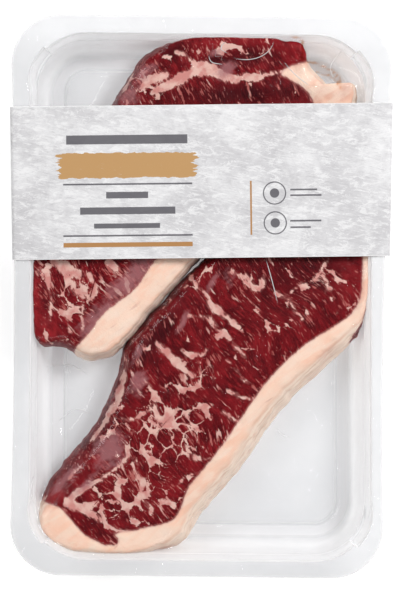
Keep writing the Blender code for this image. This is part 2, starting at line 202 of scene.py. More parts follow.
def fade(tree, value, low, high, toLow=0.0, toHigh=1.0):
    # a soft step between two values
    sockets = {"Value": value, "From Min": low, "From Max": high, "To Min": toLow, "To Max": toHigh}
    return put(tree, "ShaderNodeMapRange", sockets, interpolation_type="SMOOTHSTEP").outputs["Result"]


def mixed(tree, share, first, second):
    return put(tree, "ShaderNodeMix", {0: share, 6: first, 7: second}, data_type="RGBA").outputs[2]


def colour(red, green, blue):
    return (red, green, blue, 1.0)


def clouds(tree, place, size, detail=2.0, roughness=0.5, distortion=0.0):
    # noise from 0 to 1 with spots of about this size, in the units of place
    sockets = {"Vector": place, "Scale": 1 / size, "Detail": detail, "Roughness": roughness,
               "Distortion": distortion}
    return put(tree, "ShaderNodeTexNoise", sockets).outputs[0]


def ripples(tree, place, size, *more):
    # the same noise from -0.5 to 0.5
    return minus(tree, clouds(tree, place, size, *more), 0.5)


def patchyRoughness(tree, place, size, low, high):
    return fade(tree, clouds(tree, place, size), 0.3, 0.7, low, high)


def bumped(tree, height, strength, distance):
    sockets = {"Strength": strength, "Distance": distance, "Height": height}
    return put(tree, "ShaderNodeBump", sockets).outputs[0]


def scaled(tree, place, x=1.0, y=1.0, z=1.0):
    return put(tree, "ShaderNodeVectorMath", {0: place, 1: (x, y, z)}, operation="MULTIPLY").outputs[0]


def shifted(tree, place, offset):
    return put(tree, "ShaderNodeVectorMath", {0: place, 1: offset}, operation="ADD").outputs[0]


def combined(tree, x, y, z):
    return put(tree, "ShaderNodeCombineXYZ", {0: x, 1: y, 2: z}).outputs[0]


def objectMillimetres(tree, turn=0.0, middle=(0, 0, 0)):
    # object coordinates in millimetres about a point, turned about the upright axis
    where = put(tree, "ShaderNodeTexCoord").outputs["Object"]
    moved = shifted(tree, where, tuple(-value * mm for value in middle))
    sockets = {"Vector": moved, "Rotation": (0, 0, math.radians(turn)), "Scale": (1000, 1000, 1000)}
    return put(tree, "ShaderNodeMapping", sockets).outputs[0]


def readField(tree, name):
    return put(tree, "ShaderNodeAttribute", attribute_name=name).outputs["Fac"]


def newMaterial(name):
    made = bpy.data.materials.new(name)
    made.use_nodes = True
    return made, made.node_tree, made.node_tree.nodes["Principled BSDF"]


def newGroup(name, inputs, outputs):
    group = bpy.data.node_groups.new(name, "ShaderNodeTree")
    for socketName, kind, value in inputs:
        socket = group.interface.new_socket(socketName, in_out="INPUT", socket_type="NodeSocket" + kind)
        if value is not None:
            socket.default_value = value
    for socketName, kind in outputs:
        group.interface.new_socket(socketName, in_out="OUTPUT", socket_type="NodeSocket" + kind)
    return group, put(group, "NodeGroupInput").outputs, put(group, "NodeGroupOutput").inputs


def useGroup(tree, group, sockets):
    return put(tree, "ShaderNodeGroup", sockets, node_tree=group).outputs


# Shared effects

def makeWrinkleGroup():
    # creases of stretched plastic, more of them with a higher amount: a height for a Bump node
    group, given, wanted = newGroup(
        "finePlasticWrinkles",
        (("Place", "Vector", None), ("Size", "Float", 6.0), ("Amount", "Float", 0.5)),
        (("Height", "Float"),),
    )
    sockets = {0: given["Place"], 1: given["Size"]}
    place = put(group, "ShaderNodeVectorMath", sockets, operation="DIVIDE").outputs[0]
    ridge = fade(group, apart(group, clouds(group, place, 1.0, distortion=0.8), 0.5), 0.035, 0.0)
    kept = fade(group, plus(group, clouds(group, place, 1 / 0.45, 1.0), given["Amount"]), 1.0, 1.12)
    fine = clouds(group, place, 1 / 2.6, 1.0)
    height = plus(group, times(group, ridge, kept), times(group, fine, 0.16))
    group.links.new(height, wanted["Height"])
    return group


wrinkleGroup = makeWrinkleGroup()


# Tray

trayLook = {
    "halfWidth": 88.0,
    "halfLength": 130.0,
    "underside": 0.85,
    "rim": 28.0,
    "wall": 0.7,
    "flangeSide": 8.3,
    "flangeEnd": 7.9,
    "flangeTaper": 0.0083,  # growth of the flange's half width towards the far end
    "flangeBow": 2.2,  # how far the shrunk film draws its long sides in
    "cavityBow": 0.5,  # and the walls of the cavity
    "cavityShift": (0.6, -0.6),  # the flange is cut a little off the cavity's middle
    "cavityLean": -0.0085,  # and askew of it
    "panelRise": 1.2,
    "lugDepth": 1.6,
    "lugDrop": 8.0,
    "cornerSteps": 22,
    "plastic": colour(0.66, 0.665, 0.68),
    "milky": colour(0.70, 0.705, 0.715),  # patches of it
    "bright": colour(0.94, 0.94, 0.95),  # painted sheen where it is seen edge on, and the colour of the painted highlight lines along the creases
    "clear": 0.35,  # how solid one face of the plastic looks, straight on
    "edge": 0.5,  # and at a grazing angle
    "lightRows": {1: 0.5, 3: 0.8, 4: 0.8, 12: 0.9, 15: 0.9, 19: 0.5},  # creases that catch the light
}


def trayLugShare(angle):
    # the stacking lug swells from the long side and ends in a step at the corner's middle
    if angle >= 45:
        return 0.0
    return math.sin(math.radians(min(angle / 27, 1) * 90)) ** 0.7


def placeRing(x, y, halfX, halfY):
    # the widest rings are the flange's cut edge, the others the cavity, which lies askew in it
    look = trayLook
    drawn = np.clip(1 - (y / halfY) ** 2, 0, 1)
    if halfX > look["halfWidth"] - look["flangeSide"] / 2:
        return x + x / halfX * (look["flangeTaper"] * y - look["flangeBow"] * drawn), y
    shiftX, shiftY = look["cavityShift"]
    return x - look["cavityBow"] * x / halfX * drawn + shiftX + look["cavityLean"] * y, y + shiftY


def trayLoop(halfX, halfY, radius, height, lug):
    look = trayLook
    angles = sorted([*np.linspace(0, 90, look["cornerSteps"]), 44.2, 45.4])
    quarter = []
    for angle in angles:
        reach = radius + lug * trayLugShare(angle)
        turn = math.radians(angle)
        quarter.append((halfX - radius + reach * math.cos(turn), halfY - radius + reach * math.sin(turn)))
    shortSide = [(x, halfY) for x in np.linspace(halfX - radius, 0, 9)[1:]]
    longSide = [(halfX, y) for y in np.linspace(0, halfY - radius, 17)[:-1]]
    right = longSide + quarter + shortSide
    left = [(-x, y) for x, y in reversed(right[:-1])]
    top = right + left
    loop = np.array(top + [(-x, -y) for x, y in top[1:-1]])
    x, y = placeRing(loop[:, 0], loop[:, 1], halfX, halfY)
    return np.column_stack([x, y, np.full(len(loop), height)])


def trayProfile():
    look = trayLook
    floor, rim, wall = look["underside"] + look["wall"], look["rim"], look["wall"]
    x, y = look["halfWidth"] - look["flangeSide"], look["halfLength"] - look["flangeEnd"]
    outX, outY, lug = look["halfWidth"], look["halfLength"], look["lugDepth"]
    rise, step = look["panelRise"], rim - look["lugDrop"]

    def overFloor(*rows):
        return [(x - inX, y - inY, radius, floor + height, 0) for inX, inY, radius, height in rows]

    upper = overFloor(
        (16.6, 16.8, 10.2, rise), (16.1, 16.3, 10.6, rise - 0.15), (15.1, 15.3, 11.5, 0.15),
        (14.4, 14.6, 12, 0), (10.1, 10.7, 17.2, 0), (8.8, 9.3, 18.5, 0.4), (7.6, 8.0, 19.7, 1.4),
        (6.6, 6.8, 20.8, 3.0), (5.9, 5.9, 21.6, 4.9), (5.3, 5.2, 22.2, 6.8), (4.8, 4.6, 22.7, 9.5),
    )
    upper += [
        (x - 3.1, y - 3.0, 24.5, step, 0), (x - 3.1, y - 2.9, 24.6, step + 0.2, lug * 0.7),
        (x - 2.9, y - 2.7, 24.8, step + 0.6, lug * 0.9),
        (x - 0.9, y - 0.9, 26.3, rim - 1.6, lug), (x - 0.45, y - 0.45, 26.6, rim - 0.5, lug),
        (x, y, 27, rim, lug), (outX - 1.0, outY - 1.0, 23.6, rim, 0),
        (outX - 0.4, outY - 0.4, 24.0, rim - 0.2, 0), (outX - 0.05, outY - 0.05, 24.3, rim - 0.7, 0),
        (outX, outY, 24.4, rim - 1.6, 0),
    ]
    under = [
        (outX - 0.6, outY - 0.6, 23.8, rim - 1.6, 0), (outX - 1.1, outY - 1.1, 23.4, rim - wall, 0),
        (x + 0.8, y + 0.8, 27.6, rim - wall, lug), (x, y, 27.2, rim - 1.8, lug),
        (x - 2.2, y - 2.0, 25.4, step - 0.1, lug * 0.9), (x - 2.4, y - 2.2, 25.2, step - 0.5, 0),
    ]
    under += overFloor(
        (4.2, 3.9, 23.4, 9.0), (4.7, 4.6, 22.8, 6.2), (5.6, 5.7, 21.8, 2.8), (7.2, 7.6, 20.1, 0.6),
        (8.4, 8.9, 18.9, -0.4), (9.9, 10.5, 17.4, -wall), (14.6, 14.8, 11.8, -wall),
        (16.5, 16.7, 10.2, rise - wall),
    )
    return upper + under


def keepInsideTray(points, room=0.35):
    # moves points that are past the tray's wall back to this far inside it
    look = trayLook
    rows = np.array(trayProfile()[3:17])
    halfX, halfY, radius = (np.interp(points[:, 2], rows[:, 3], rows[:, k]) - room for k in range(3))
    shiftX, shiftY = look["cavityShift"]
    y = points[:, 1] - shiftY
    x = points[:, 0] - shiftX - look["cavityLean"] * y
    halfX = halfX - look["cavityBow"] * np.clip(1 - (y / halfY) ** 2, 0, 1)
    newX, newY = np.clip(x, -halfX, halfX), np.clip(y, -halfY, halfY)
    overX, overY = np.abs(newX) - (halfX - radius), np.abs(newY) - (halfY - radius)
    off = np.hypot(overX, overY)
    shrink = np.where((overX > 0) & (overY > 0) & (off > radius), radius / np.maximum(off, 1e-6), 1.0)
    newX = np.where(shrink < 1, np.sign(newX) * (halfX - radius + overX * shrink), newX)
    newY = np.where(shrink < 1, np.sign(newY) * (halfY - radius + overY * shrink), newY)
    points[:, 0], points[:, 1] = newX + shiftX + look["cavityLean"] * newY, newY + shiftY


def makeTrayMaterial():
    look = trayLook
    made, tree, shader = newMaterial("clearTrayPlastic")
    place = objectMillimetres(tree)
    creaseHighlight = readField(tree, "creaseHighlight")
    facing = put(tree, "ShaderNodeLayerWeight", {"Blend": 0.5}).outputs["Facing"]
    milk = fade(tree, clouds(tree, place, 26.0, 3.0), 0.35, 0.65)
    tone = mixed(tree, milk, look["plastic"], look["milky"])
    # painted sheen: the plastic turns near white where it is seen edge on, and painted highlight lines run
    # along the creases, which are also made more solid
    tone = mixed(tree, strongest(tree, creaseHighlight, fade(tree, facing, 0.12, 0.5)), tone, look["bright"])
    solid = fade(tree, facing, 0.15, 1.0, look["clear"], look["edge"])
    ripple = useGroup(tree, wrinkleGroup, {"Place": place, "Size": 20.0, "Amount": 0.4})["Height"]
    connect(tree, shader, {
        "Base Color": tone,
        "Alpha": plus(tree, solid, times(tree, creaseHighlight, 0.35)),
        "Roughness": patchyRoughness(tree, place, 3.0, 0.08, 0.14),
        "Specular IOR Level": 0.3,
        "Normal": bumped(tree, ripple, 0.25, 0.0002),
    })
    return made


def buildTray():
    loops = [trayLoop(*row) for row in trayProfile()]
    size = len(loops[0])
    faces = ringFaces(len(loops), size)
    piece = makePiece("tray_shell", np.vstack(loops), faces, makeTrayMaterial(), 35)
    # rows of painted highlight lines on the tray's creases
    light = [trayLook["lightRows"].get(row, 0.0) for row in range(len(loops))]
    addField(piece, "creaseHighlight", np.repeat(light, size))
    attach(piece, "root")
    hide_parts("tray")
    return piece


# Steaks

upperSteak = {
    "name": "upper_steak",
    "nodes": ("upper_steak_lean", "upper_steak_fat"),
    "seed": 3.7,
    # x, y and the width of the rounded shoulder
    "outline": [
        (-78, 20, 2), (-78, -14, 2), (-75.5, -24, 4), (-64, -25, 5), (-55, -29.5, 4), (-47, -31, 4),
        (-38, -26.4, 3.5), (-29.5, -17.6, 3.5), (-20, -5.5, 3.5), (-1, 16, 3.5), (26, 45, 3.5), (50, 68, 3.5),
        (70, 86, 4), (72.5, 92, 3), (71.5, 99.5, 2), (66, 99, 2), (62, 97.5, 3), (55.5, 102.5, 3),
        (51.3, 107.5, 3), (49.3, 111.5, 2.5), (48.3, 115.5, 2), (45.5, 119, 1.2), (38, 119.8, 1.2),
        (30, 121.8, 1.5), (16, 122, 1.5), (-8, 120.6, 2), (-26, 113, 4), (-37, 98, 4), (-52, 73, 4),
        (-66, 48, 4),
    ],
    "spine": [(-52, -6), (-42, 30), (-20, 62), (10, 88), (44, 98)],
    "fatBorder": [
        (-60, -34), (-57.5, -25.5), (-51, -18), (-44, -8.5), (-30, 3), (-20, 17), (0, 38), (24, 60),
        (46, 79), (52, 89), (48, 96.5), (41, 101), (37, 103.5), (41, 107), (50, 110), (62, 118),
    ],
    "fatOutside": [(100, 118), (100, 60), (0, -34)],
    # lines of fat between the muscles: x, y and half width
    "seams": [
        [(-67, 15.5, 2.2), (-62, 12.5, 2.6), (-56.5, 9.5, 2.2)],
        [(-64.5, 13.5, 1.2), (-59.5, 6.5, 1.0), (-57.5, 2, 1.1), (-54, -1, 0.7)],
        [(-74.5, 12, 0.9), (-70, 10.5, 0.8), (-70.5, 4.5, 0.7), (-68.5, -2, 0.8), (-69, -11.5, 0.5)],
        [(-68.5, -5.5, 0.4), (-61.5, -10.5, 0.6), (-60, -17, 0.6)],
        [(-61.5, -10.5, 0.5), (-60, -6.5, 0.6), (-54, -5.5, 0.7), (-54.5, -10, 0.6), (-53.5, -16.5, 0.5)],
        [(-51, 9, 1.0), (-48, 4.5, 0.9), (-50.5, -1.5, 0.8)],
        [(-42, 15.5, 0.6), (-38.5, 11.5, 0.8), (-34.5, 9, 0.5), (-33, 2, 0.4)],
        [(-22.5, 94, 1.2), (-12, 100, 2.2), (-5, 103.5, 2.6), (1, 106, 3.4), (9.5, 102.5, 2.2),
         (16.5, 101, 1.6), (27, 102, 1.2), (35, 104, 1.0), (42, 106, 1.2)],
        [(-2, 106, 1.2), (-7, 111, 0.6), (-12, 113, 0.3)],
        [(-31, 94, 1.2), (-24, 100, 1.6), (-16, 103, 1.8)],
    ],
    "webbing": [(-61, 2, 15, 24, 0, 0.72), (-27, 98, 14, 12, 30, 0.8), (14, 114, 26, 6, 0, 0.7)],
    # patches of painted sheen for the film's soft reflections: x, y, two half lengths, turn and strength
    "paintedSheen": [
        (-31, 8, 22, 7, 47, 0.95), (-47, -12, 16, 7, 52, 0.95), (-24, 24, 12, 6, 47, 0.7),
        (11, 105, 7, 4.5, 20, 1.0), (-26, 104, 8, 5, 40, 0.8), (6, 113, 5, 3, 0, 0.7),
        (-34, 92, 10, 6, 50, 0.8), (-46, 76, 14, 7, 55, 0.7),
    ],
    "redden": [
        (8, 117, 30, 5, 0, 0.7), (-70, -18, 9, 8, 0, 0.9), (45, 113, 6, 9, 0, 0.9), (-76, 0, 3, 24, 0, 0.9),
        (57, 96, 9, 5, -35, 0.45), (67, 96, 4, 6, -30, 0.7), (54, 90, 3, 5, 0, 0.6),
    ],
    "dark": [
        (18, 94, 40, 6, 4, 0.9), (8, 109.5, 9, 2.5, 0, 1.0), (22, 112, 14, 5, 0, 0.8),
        (-12, 114, 8, 4, 20, 0.8),
    ],
}
lowerSteak = {
    "name": "lower_steak",
    "nodes": ("lower_steak_lean", "lower_steak_fat"),
    "seed": 8.1,
    "outline": [
        (81, 45, 3.5), (81, 5, 3), (77.5, -14, 5.5), (60.5, -31.5, 7), (40, -51.5, 7.5), (20.5, -79.5, 7.5),
        (2.5, -101, 7), (-8, -116, 6), (-30, -122.5, 5), (-56, -122.5, 5), (-73, -115, 5), (-75.5, -103, 5),
        (-69, -87, 7), (-56, -70.5, 7), (-46.8, -58, 6.5), (-37.6, -36, 6), (-34.5, -23, 5),
        (-21.2, -6.4, 4.5), (-0.3, 15.4, 4), (19.4, 36.6, 4), (37, 56, 5), (58, 66, 6), (72, 62, 6),
    ],
    "spine": [(-50, -100), (-36, -84), (-6, -48), (22, -12), (50, 26), (62, 46)],
    "fatBorder": [
        (76, 75), (75.8, 40), (75.6, 15), (74.8, 1), (70.5, -7.5), (62, -13.8), (47.5, -23.5), (33, -38),
        (20.5, -55.7), (8, -74), (-4, -89), (-10, -103), (-22, -107.5), (-38, -110.6), (-50, -112.4),
        (-59, -104), (-66, -98), (-90, -92),
    ],
    "fatOutside": [(-100, -140), (40, -140), (110, -60), (110, 75)],
    "seams": [
        [(-5, 10, 0.9), (-0.5, 4.5, 1.3), (4, 0, 1.4), (6.5, -5, 1.5), (11, -8, 1.4), (16.5, -12.5, 1.5),
         (20.5, -16, 0.9)],
        [(-4.5, -9, 0.4), (3.5, -9.5, 0.6), (6.5, -13.5, 0.7), (11, -16.5, 0.8), (14.5, -20, 1.1),
         (18, -24, 1.2), (21.5, -28, 0.7)],
        [(-19, -22, 1.3), (-14, -27.5, 1.6), (-9.5, -31.5, 1.4), (-5.5, -35, 1.2), (-2, -37, 0.7)],
        [(-7.5, -25, 0.5), (-2.5, -27.5, 0.7), (2, -27.5, 0.7), (5, -23.5, 0.5)],
        [(15.5, 11.5, 0.7), (21, 8.5, 1.0), (25, 4, 1.4), (28.5, 4, 1.3), (29.5, 10, 0.6)],
        [(35.5, 1.5, 0.6), (42, -1.5, 0.9), (45, -6.5, 1.1), (47.5, -10.5, 0.6)],
        [(41, 1, 0.4), (46.5, 5.5, 0.5), (52, 6.5, 0.4), (56.5, 13, 0.6), (59.5, 17.5, 0.4)],
        [(56.5, 12, 0.4), (62, -1, 0.3)],
        [(13, -29.5, 0.3), (17.5, -34, 0.4), (21.5, -39.5, 0.4), (27, -43, 0.3)],
        [(14, -44, 0.6), (21, -47, 0.7), (25.5, -47.5, 0.4)],
        [(12, -54, 0.4), (19.5, -59, 0.4)],
        [(-21.5, -43, 0.8), (-20.5, -48.5, 1.0), (-19, -56.5, 0.8), (-15, -58.5, 0.7), (-10, -62, 0.5)],
        [(-35, -56.5, 0.6), (-29.5, -57.5, 0.7), (-26.5, -55, 0.8), (-22.5, -53.5, 0.8), (-21.5, -43, 0.8),
         (-25.5, -39, 0.6)],
        [(-28.5, -75.5, 0.8), (-27.5, -83, 1.0), (-26, -86, 1.0), (-26, -94, 1.0), (-21.5, -97.5, 0.9),
         (-21.5, -102, 0.6)],
        [(-60, -95.5, 1.4), (-54.5, -91, 0.9), (-45, -85.5, 0.9), (-38.5, -81, 1.0), (-33.5, -76.5, 1.2),
         (-32, -74, 1.0), (-33, -68, 0.7), (-35, -65, 0.5)],
        [(-38, -86.5, 0.7), (-36.5, -91, 0.8), (-35, -97.5, 0.8), (-33, -102.5, 0.5)],
        [(-5.5, -70, 0.7), (-1.5, -75, 0.8), (1.5, -76, 0.8), (5.5, -75.5, 0.5)],
        [(-33.5, -30, 1.0), (-35, -38, 1.4), (-38, -49.5, 1.6), (-42.5, -57.5, 1.3), (-47, -64.5, 1.0),
         (-50, -68, 0.8)],
        [(-60, -97, 1.6), (-54, -98.5, 1.9), (-50, -98, 1.4), (-46, -96, 0.6)],
        [(-54, -99.5, 1.2), (-47.3, -102.6, 0.8), (-39.8, -108.1, 0.9), (-32, -110.5, 0.9)],
        [(-60, -86, 0.3), (-57, -82, 0.5), (-54, -80, 0.3)], [(-9, -88, 0.5), (-6, -84, 0.7), (0, -82, 0.4)],
    ],
    "webbing": [
        (-16, -64, 36, 26, 30, 0.82), (-28, -92, 30, 18, 20, 0.7), (4, -34, 30, 20, 45, 0.5),
        (54, 6, 26, 24, 0, 0.36), (8, 4, 18, 14, 0, 0.45), (32, -18, 22, 14, 30, 0.5),
    ],
    # patches of painted sheen for the film's soft reflections: x, y, two half lengths, turn and strength
    "paintedSheen": [
        (-41, -72, 12, 9, 60, 1.0), (-27.5, -40.5, 5, 9, -20, 0.9), (-7.5, -12, 2, 7, -25, 0.9),
        (6, 7, 2.5, 9, -25, 0.8), (-28, -27, 2.5, 9, -25, 0.7), (-52, -88, 3, 12, -50, 0.8),
        (14, 8, 4, 6, 0, 0.6), (-62, -86, 3, 16, -42, 0.9),
    ],
    "redden": [
        (69, 8, 10, 14, 0, 0.8), (-66, -92, 6, 9, -35, 0.8), (-47, -77, 3, 12, -30, 0.7),
        (-22, -88, 26, 18, 20, 0.3), (-72, -112, 3, 7, 20, 0.9), (-60, -121, 9, 2, -8, 0.7),
        (-16, -118, 6, 2, 10, 0.8), (60, -26, 8, 3, 45, 0.4),
    ],
    # darker patches of lean; the long one at (-20, -20) along the crevice beside the upper steak is painted
    # shade
    "dark": [(-20, -20, 5, 22, -38, 0.9), (-44, -66, 3, 10, -35, 0.5), (46, 18, 34, 24, 0, 0.65)],
    "islands": [  # lobes of lean inside the fat: x, y and half width along a line
        [(-57, -102.5, 2.0), (-52, -105.5, 4.2), (-47, -108.5, 5.0), (-42, -112, 4.2), (-38.5, -114, 2.2)],
        [(79, -3, 1.0), (77.5, -12, 1.8), (71, -20.5, 0.8)],
    ],
}
steakShape = {
    "outlinePoints": 440,
    "topRings": 46,
    "sideSteps": 5,  # rings between two of the heights below
    "top": 24.4,
    "crown": 0.2,
    "wobble": 0.6,  # how far the outline strays in and out
    "ragged": 0.3,  # and its small notches
    # height, fixed inset and share of the shoulder
    "side": [
        (3.25, 2.6, 0.0), (4.6, 0.8, 0.0), (8.0, 0.0, 0.0), (13.0, 0.0, 0.12), (18.0, 0.0, 0.36),
        (21.4, 0.0, 0.66), (23.5, 0.0, 1.0), (24.4, 3.0, 1.0),
    ],
    "wallLift": 1.8,  # how much higher the meat stands where it is pressed against the walls
    "pressedFrom": (70, 111),  # how far out in x and y that begins
    "hills": ((15, 0, 0.55), (4.5, 5, 0.16)),  # size, seed and height
    "grain": -53,  # which way the small flecks run, in degrees from the tray's width
}
steakLook = {
    # near black for darker patches of lean, and painted shade in the crevice between the steaks
    "leanDeepAndShade": colour(0.02, 0.002, 0.004),
    "leanDark": colour(0.08, 0.0025, 0.005),
    "lean": colour(0.18, 0.006, 0.01),
    "leanBright": colour(0.34, 0.018, 0.023),
    "fleck": colour(0.48, 0.13, 0.115),
    "marble": colour(0.64, 0.27, 0.24),
    "seamFat": colour(0.78, 0.5, 0.43),
    "fatPeach": colour(0.96, 0.605, 0.45),
    "fatCream": colour(0.985, 0.8, 0.665),
    "fatPale": colour(0.96, 0.76, 0.63),
    # painted shade of the fat's grooves
    "fatGrooveShade": colour(0.7, 0.4, 0.27),
    "streak": colour(0.42, 0.09, 0.07),
    "pinkLine": colour(0.56, 0.26, 0.23),
    # the grey-lilac of the painted sheen
    "paintedSheen": colour(0.4, 0.165, 0.175),
}


def ovals(points, patches):
    # 1 in the middle of each soft oval, 0 outside: x, y, two half lengths, turn and strength
    found = np.zeros(len(points))
    for x, y, longHalf, shortHalf, turn, strength in patches:
        c, s = math.cos(math.radians(turn)), math.sin(math.radians(turn))
        offset = points - (x, y)
        along = (offset[:, 0] * c + offset[:, 1] * s) / longHalf
        across = (offset[:, 1] * c - offset[:, 0] * s) / shortHalf
        found = np.maximum(found, strength * np.clip(1.25 - np.hypot(along, across), 0, 1))
    return found


def fatDistance(points, steak):
    # millimetres inside the fat, negative in the lean
    border = smoothCurve(steak["fatBorder"], 8)
    outline = np.vstack([border, steak["fatOutside"]])
    _, off = nearestOnLine(points, border)
    return np.where(insideOutline(points, outline), off, -off)


def buildSteak(steak, material):
    shape, seed = steakShape, steak["seed"]
    edge = evenlySpaced(smoothCurve(steak["outline"], 24, True), shape["outlinePoints"])
    size = len(edge)
    flat = edge[:, :2]
    targets, _ = nearestOnLine(flat, steak["spine"])
    way = targets - flat
    way /= np.linalg.norm(way, axis=1)[:, None]
    ground = np.column_stack([flat, np.zeros(size)])
    stray = shape["wobble"] * bumps(ground, 9, 3, seed) + shape["ragged"] * bumps(ground, 3, 2, seed + 3)
    flat = flat + way * stray[:, None]

    rings = []
    for height, inset, share in smoothCurve(shape["side"], shape["sideSteps"]):
        ring = flat + way * (inset + edge[:, 2] * share)[:, None]
        rings.append(np.column_stack([ring, np.full(size, height)]))
    last = rings[-1][:, :2]
    for share in np.linspace(0, 0.99, shape["topRings"])[1:]:
        height = shape["top"] + shape["crown"] * min(1, share * 4)
        rings.append(np.column_stack([last * (1 - share) + targets * share, np.full(size, height)]))
    points = np.vstack(rings)
    fromX, fromY = shape["pressedFrom"]
    outX = np.abs(points[:, 0] - trayLook["cavityShift"][0]) - fromX
    beside = np.clip(np.maximum(outX, points[:, 1] - fromY) / 6, 0, 1)
    points[:, 2] += shape["wallLift"] * beside * np.clip((points[:, 2] - 13) / 8, 0, 1)
    keepInsideTray(points)
    xy = points[:, :2]

    seam = np.min([nearestOnLine(xy, line)[1] for line in steak["seams"]], axis=0)
    fat = fatDistance(xy, steak)
    for line in steak.get("islands", []):
        fat = np.minimum(fat, nearestOnLine(xy, line)[1])
    top = np.clip((points[:, 2] - 14) / 9, 0, 1)
    hills = sum(bumps(points, width, 2, seed + more) * height for width, more, height in shape["hills"])
    groove = 0.45 * np.exp(-(fat / 1.3) ** 2) + 0.3 * np.exp(-(np.maximum(seam, 0) / 0.9) ** 2)
    points[:, 2] += (hills - groove) * top

    # folds along the cut side of the fat
    low = np.clip((23 - points[:, 2]) / 3, 0, 1) * np.clip(points[:, 2] - 4, 0, 1)
    fold = np.sin(points[:, 2] * 1.15 + bumps(points, 22, 2, seed + 2) * 3.2)
    rough = bumps(points, 6, 2, seed + 9) * 0.35
    inward = np.tile(way, (len(rings), 1))
    points[:, :2] += inward * (low * (0.1 + 0.35 * fold * (fat > 0) + rough))[:, None]
    keepInsideTray(points)

    piece = makePiece(steak["name"], points, ringFaces(len(rings), size), material, 70)
    addField(piece, "fatDepth", fat)
    addField(piece, "seamDistance", seam)
    addField(piece, "belowTop", 24.5 - points[:, 2])
    # among these fields are patches of painted sheen, and darker patches that hold painted shade along the
    # crevice between the steaks
    for name in ("webbing", "paintedSheen", "redden", "dark"):
        addField(piece, name, ovals(xy, steak[name]))
    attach(piece, "root")
    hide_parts(*steak["nodes"])
    return piece


def makeFleckGroup():
    # rounded bundles of muscle with fat in the gaps between them: more fat with a higher amount
    group, given, wanted = newGroup(
        "fatThreads",
        (("Place", "Vector", None), ("Length", "Float", 4.0), ("Width", "Float", 2.0),
         ("Amount", "Float", 0.5)),
        (("Mask", "Float"),),
    )
    split = put(group, "ShaderNodeSeparateXYZ", {0: given["Place"]}).outputs
    sides = ("Length", "Width", "Length")
    place = combined(group, *(maths(group, "DIVIDE", split[k], given[side]) for k, side in enumerate(sides)))
    drift = put(group, "ShaderNodeTexNoise", {"Vector": place, "Scale": 1.1, "Detail": 2.0}).outputs[1]
    bent = shifted(group, scaled(group, shifted(group, drift, (-0.5, -0.5, -0.5)), 0.6, 0.6, 0.6), place)
    middle, gap = (
        put(group, "ShaderNodeTexVoronoi", {"Vector": bent, "Scale": 1.0}, feature=feature).outputs[0]
        for feature in ("F1", "DISTANCE_TO_EDGE")
    )
    amount = plus(group, given["Amount"], ripples(group, place, 1 / 0.7, 1.0))
    rough = ripples(group, place, 1 / 7)
    limit = fade(group, amount, 0.0, 1.0, 0.89, 0.57)
    filled = fade(group, minus(group, plus(group, middle, times(group, rough, 0.22)), limit), 0.0, 0.05)
    line = plus(group, fade(group, amount, 0.35, 0.9, -0.05, 0.05), times(group, rough, 0.16))
    thin = fade(group, minus(group, gap, line), 0.02, -0.01)
    group.links.new(strongest(group, filled, thin), wanted["Mask"])
    return group


